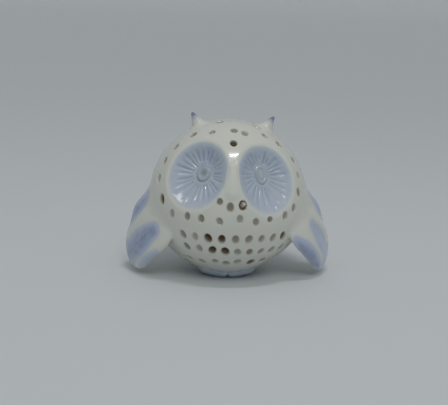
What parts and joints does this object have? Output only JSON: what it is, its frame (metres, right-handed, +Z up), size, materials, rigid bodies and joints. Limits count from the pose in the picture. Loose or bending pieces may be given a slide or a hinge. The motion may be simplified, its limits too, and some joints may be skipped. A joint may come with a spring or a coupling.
{
  "type": "owl figurine",
  "caption": "Hollow glazed porcelain owl with a round pierced body, two dished facial discs, ear tufts, caped wings, a short tail and foot pads.",
  "frame": {"origin": "centre of the base ring, on the surface that the owl stands on", "axes": "+Z up; the owl faces -Y; +X is to the right of a viewer who looks at its face, and the wings spread along X"},
  "size_m": [0.0819, 0.0662, 0.0633],
  "materials": {
    "white_glaze": "glossy white glazed porcelain, slightly translucent",
    "blue_disc_glaze": "glossy pale underglaze blue",
    "blue_pupil_glaze": "glossy grey-blue underglaze",
    "blue_tip_glaze": "glossy white shading to violet-blue at the tip",
    "wing_glaze": "glossy white with three brushed underglaze blue strokes",
    "foot_glaze": "glossy pale underglaze blue"
  },
  "bodies": {
    "root": {"body_shell": "white_glaze", "left_eye_disc": "blue_disc_glaze", "right_eye_disc": "blue_disc_glaze", "left_pupil": "blue_pupil_glaze", "right_pupil": "blue_pupil_glaze", "beak_ridge": "white_glaze", "left_ear_tuft": "blue_tip_glaze", "right_ear_tuft": "blue_tip_glaze", "left_wing": "wing_glaze", "right_wing": "wing_glaze", "tail": "wing_glaze", "left_foot": "foot_glaze", "right_foot": "foot_glaze"}
  },
  "joints": []
}
